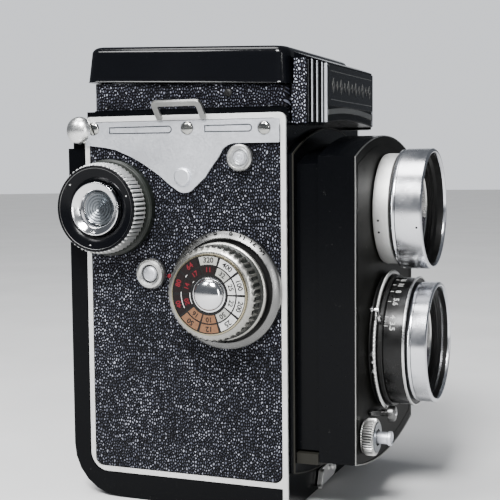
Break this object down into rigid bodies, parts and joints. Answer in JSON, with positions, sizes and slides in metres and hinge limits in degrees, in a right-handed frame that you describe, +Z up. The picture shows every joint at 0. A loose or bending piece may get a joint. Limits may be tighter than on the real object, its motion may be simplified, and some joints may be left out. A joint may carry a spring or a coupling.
{
  "type": "twin lens reflex camera",
  "caption": "Upright box camera with paired lenses on a sliding standard, folding top hood, hinged L-shaped back and side winding and focusing knobs.",
  "frame": {"origin": "point on the flat underside of the hinged back, in the plane through both lens axes, ahead of the tripod bush", "axes": "+Z up through the hood; lenses look towards -Y; winding and focusing knobs on the -X side"},
  "size_m": [0.099, 0.1105, 0.143],
  "materials": {
    "enamel": "gloss black enamel",
    "leather": "pebble grained black leatherette",
    "satin_metal": "satin silver",
    "chrome": "polished",
    "blackened_metal": "satin black",
    "dial": "satin black with filled numbers",
    "glass": "polished",
    "mirror": "polished",
    "red": "gloss red"
  },
  "bodies": {
    "body": {"body_shell": "enamel", "fixed_collar": "enamel", "side_panel_left": "leather", "side_panel_right": "leather", "side_trim_left": "satin_metal", "side_trim_right": "satin_metal", "strap_plate_left": "satin_metal", "strap_plate_right": "satin_metal", "plate_screw_front": "chrome", "plate_screw_middle": "chrome", "plate_screw_rear": "chrome", "plate_rivet": "satin_metal", "hinge_pin": "chrome", "film_gate": "blackened_metal", "focusing_screen": "glass", "reflex_mirror": "mirror", "wind_knob_base": "blackened_metal", "focus_scale_ring": "satin_metal", "flash_contact_ring": "satin_metal", "flash_contact_button": "chrome", "winding_lock_ring": "satin_metal", "index_dot": "red", "hood_base": "leather", "nameplate_housing": "enamel", "nameplate": "satin_metal"},
    "lug_left": {"strap_lug_left": "satin_metal"},
    "lug_right": {"strap_lug_right": "satin_metal"},
    "back": {"back_door": "enamel", "tripod_bush": "satin_metal", "counter_window": "red", "pressure_plate": "blackened_metal"},
    "latch": {"back_latch": "chrome"},
    "take_up": {"take_up_spool": "blackened_metal"},
    "wind_knob": {"wind_knob_rim": "satin_metal", "wind_knob_cap": "enamel", "wind_knob_centre": "chrome"},
    "focus_knob": {"focus_knob_rim": "satin_metal", "focus_knob_dome": "chrome"},
    "film_dial": {"film_speed_dial": "dial"},
    "winding_lock": {"winding_lock_button": "chrome"},
    "spool_knob_lower": {"spool_knob_lower": "satin_metal"},
    "spool_knob_upper": {"spool_knob_upper": "satin_metal"},
    "hood_lid": {"hood_lid": "enamel"},
    "hood_leaf_left": {"hood_leaf_left": "enamel"},
    "hood_leaf_right": {"hood_leaf_right": "enamel"},
    "hood_leaf_rear": {"hood_leaf_rear": "enamel"},
    "magnifier": {"magnifier_frame": "blackened_metal", "magnifier_lens": "glass"},
    "standard": {"front_housing": "enamel", "viewing_lens_mount": "satin_metal", "viewing_lens_ring": "chrome", "viewing_lens_glass": "glass", "shutter_case": "blackened_metal", "taking_lens_ring": "chrome", "taking_lens_glass": "glass"},
    "speed_ring": {"speed_ring": "satin_metal"},
    "aperture_lever": {"aperture_lever": "chrome"},
    "cocking_lever": {"cocking_lever": "satin_metal"},
    "release_collar": {"release_collar": "satin_metal"},
    "release_button": {"release_button": "chrome"}
  },
  "joints": [
    {"name": "lug_left_hinge", "type": "hinge", "parent": "body", "child": "lug_left", "pos_m": [-0.0398, -0.0022, 0.11975], "axis": [0, 1, 0], "range_deg": [-48, 42]},
    {"name": "lug_right_hinge", "type": "hinge", "parent": "body", "child": "lug_right", "pos_m": [0.0398, -0.0022, 0.11975], "axis": [0, 1, 0], "range_deg": [-42, 48]},
    {"name": "back_hinge", "type": "hinge", "parent": "body", "child": "back", "pos_m": [0, 0.0333, 0.1163], "axis": [1, 0, 0], "range_deg": [0, 110]},
    {"name": "latch_turn", "type": "hinge", "parent": "body", "child": "latch", "pos_m": [0.0035, -0.036, 0.0042], "axis": [0, 1, 0], "range_deg": [-35, 0]},
    {"name": "wind_turn", "type": "hinge", "parent": "body", "child": "wind_knob", "pos_m": [-0.044, 0.02265, 0.0922], "axis": [1, 0, 0], "continuous": true},
    {"name": "take_up_turn", "type": "hinge", "parent": "body", "child": "take_up", "pos_m": [0, 0.0175, 0.088], "axis": [1, 0, 0], "continuous": true},
    {"name": "standard_slide", "type": "slide", "parent": "body", "child": "standard", "axis": [0, -1, 0], "range_m": [0, 0.007]},
    {"name": "focus_turn", "type": "hinge", "parent": "body", "child": "focus_knob", "pos_m": [-0.044, -0.01584, 0.0676], "axis": [-1, 0, 0], "range_deg": [0, 250]},
    {"name": "film_dial_turn", "type": "hinge", "parent": "focus_knob", "child": "film_dial", "pos_m": [-0.05, -0.01584, 0.0676], "axis": [1, 0, 0], "continuous": true},
    {"name": "winding_lock_press", "type": "slide", "parent": "body", "child": "winding_lock", "axis": [1, 0, 0], "range_m": [0, 0.0012], "stiffness_N_per_m": 300},
    {"name": "spool_knob_lower_pull", "type": "slide", "parent": "body", "child": "spool_knob_lower", "axis": [1, 0, 0], "range_m": [0, 0.005], "stiffness_N_per_m": 150},
    {"name": "spool_knob_upper_pull", "type": "slide", "parent": "body", "child": "spool_knob_upper", "axis": [1, 0, 0], "range_m": [0, 0.005], "stiffness_N_per_m": 150},
    {"name": "lid_hinge", "type": "hinge", "parent": "body", "child": "hood_lid", "pos_m": [0, -0.034, 0.1394], "axis": [1, 0, 0], "range_deg": [0, 95]},
    {"name": "leaf_left_hinge", "type": "hinge", "parent": "body", "child": "hood_leaf_left", "pos_m": [-0.029, 0, 0.1321], "axis": [0, -1, 0], "range_deg": [0, 95]},
    {"name": "leaf_right_hinge", "type": "hinge", "parent": "body", "child": "hood_leaf_right", "pos_m": [0.029, 0, 0.1321], "axis": [0, 1, 0], "range_deg": [0, 95]},
    {"name": "leaf_rear_hinge", "type": "hinge", "parent": "body", "child": "hood_leaf_rear", "pos_m": [0, 0.0295, 0.1321], "axis": [-1, 0, 0], "range_deg": [0, 95]},
    {"name": "magnifier_hinge", "type": "hinge", "parent": "hood_lid", "child": "magnifier", "pos_m": [0, -0.005, 0.1388], "axis": [-1, 0, 0], "range_deg": [0, 95]},
    {"name": "speed_ring_turn", "type": "hinge", "parent": "standard", "child": "speed_ring", "pos_m": [0, -0.0568, 0.0488], "axis": [0, 1, 0], "range_deg": [-60, 60]},
    {"name": "aperture_turn", "type": "hinge", "parent": "standard", "child": "aperture_lever", "pos_m": [0, -0.0586, 0.0488], "axis": [0, 1, 0], "range_deg": [-30, 30]},
    {"name": "cocking_turn", "type": "hinge", "parent": "standard", "child": "cocking_lever", "pos_m": [-0.008, -0.057, 0.0266], "axis": [0, 1, 0], "range_deg": [-8, 28]},
    {"name": "release_lock_turn", "type": "hinge", "parent": "standard", "child": "release_collar", "pos_m": [-0.026, -0.058, 0.0232], "axis": [0, 1, 0], "range_deg": [0, 90]},
    {"name": "release_press", "type": "slide", "parent": "standard", "child": "release_button", "axis": [0, 1, 0], "range_m": [0, 0.002], "stiffness_N_per_m": 300}
  ],
  "couplings": [
    {"joint": "take_up_turn", "follows": "wind_turn", "ratio": 1},
    {"joint": "focus_turn", "follows": "standard_slide", "rad_per_m": 623.32},
    {"joint": "leaf_left_hinge", "follows": "lid_hinge", "ratio": 1},
    {"joint": "leaf_right_hinge", "follows": "lid_hinge", "ratio": 1},
    {"joint": "leaf_rear_hinge", "follows": "lid_hinge", "ratio": 1},
    {"joint": "magnifier_hinge", "follows": "lid_hinge", "ratio": 1}
  ]
}
